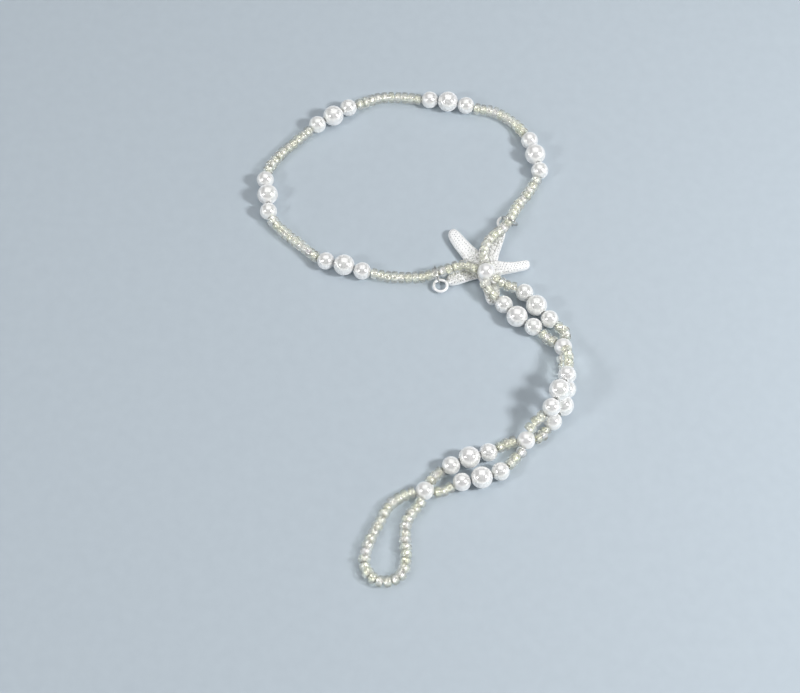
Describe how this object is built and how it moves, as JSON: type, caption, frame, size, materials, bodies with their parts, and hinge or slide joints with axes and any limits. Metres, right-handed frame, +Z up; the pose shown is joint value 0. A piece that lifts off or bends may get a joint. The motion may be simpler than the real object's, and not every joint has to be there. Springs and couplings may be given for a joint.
{
  "type": "barefoot sandal",
  "caption": "Barefoot sandal of faux pearls and glass seed beads: ankle loop, cast starfish, twin foot strands and toe loop, lying flat.",
  "frame": {"origin": "middle of the sandal's box, on the surface that it lies on", "axes": "+Z up from the surface, +Y from the toe loop towards the ankle loop, +X to the right seen from above"},
  "size_m": [0.0923, 0.1607, 0.0117],
  "materials": {
    "pearl": "pearlescent coating, glossy",
    "seed_glass": "clear glass with a champagne silver lining",
    "cast_silver": "silver-plated cast alloy, satin",
    "ring_wire": "silver-plated wire, polished",
    "thread": "clear nylon thread"
  },
  "bodies": {
    "root": {"starfish": "cast_silver", "jump_ring_1": "ring_wire", "jump_ring_2": "ring_wire", "centre_pearl": "pearl", "toe_loop": "seed_glass", "thread": "thread", "ankle_pearl_1": "pearl", "ankle_pearl_2": "pearl", "ankle_pearl_3": "pearl", "ankle_pearl_4": "pearl", "ankle_pearl_5": "pearl", "ankle_pearl_6": "pearl", "ankle_pearl_7": "pearl", "ankle_pearl_8": "pearl", "ankle_pearl_9": "pearl", "ankle_pearl_10": "pearl", "ankle_pearl_11": "pearl", "ankle_pearl_12": "pearl", "ankle_pearl_13": "pearl", "ankle_pearl_14": "pearl", "ankle_pearl_15": "pearl", "foot_pearl_1": "pearl", "foot_pearl_2": "pearl", "foot_pearl_3": "pearl", "foot_pearl_4": "pearl", "foot_pearl_5": "pearl", "foot_pearl_6": "pearl", "foot_pearl_7": "pearl", "foot_pearl_8": "pearl", "foot_pearl_9": "pearl", "foot_pearl_10": "pearl", "foot_pearl_11": "pearl", "foot_pearl_12": "pearl", "foot_pearl_13": "pearl", "foot_pearl_14": "pearl", "foot_pearl_15": "pearl", "foot_pearl_16": "pearl", "foot_pearl_17": "pearl", "foot_pearl_18": "pearl", "joining_pearl_1": "pearl", "joining_pearl_2": "pearl", "joining_pearl_3": "pearl", "ankle_seeds_1": "seed_glass", "ankle_seeds_2": "seed_glass", "ankle_seeds_3": "seed_glass", "ankle_seeds_4": "seed_glass", "ankle_seeds_5": "seed_glass", "ankle_seeds_6": "seed_glass", "foot_seeds_1": "seed_glass", "foot_seeds_2": "seed_glass", "foot_seeds_3": "seed_glass", "foot_seeds_4": "seed_glass", "foot_seeds_5": "seed_glass", "foot_seeds_6": "seed_glass"}
  },
  "joints": []
}
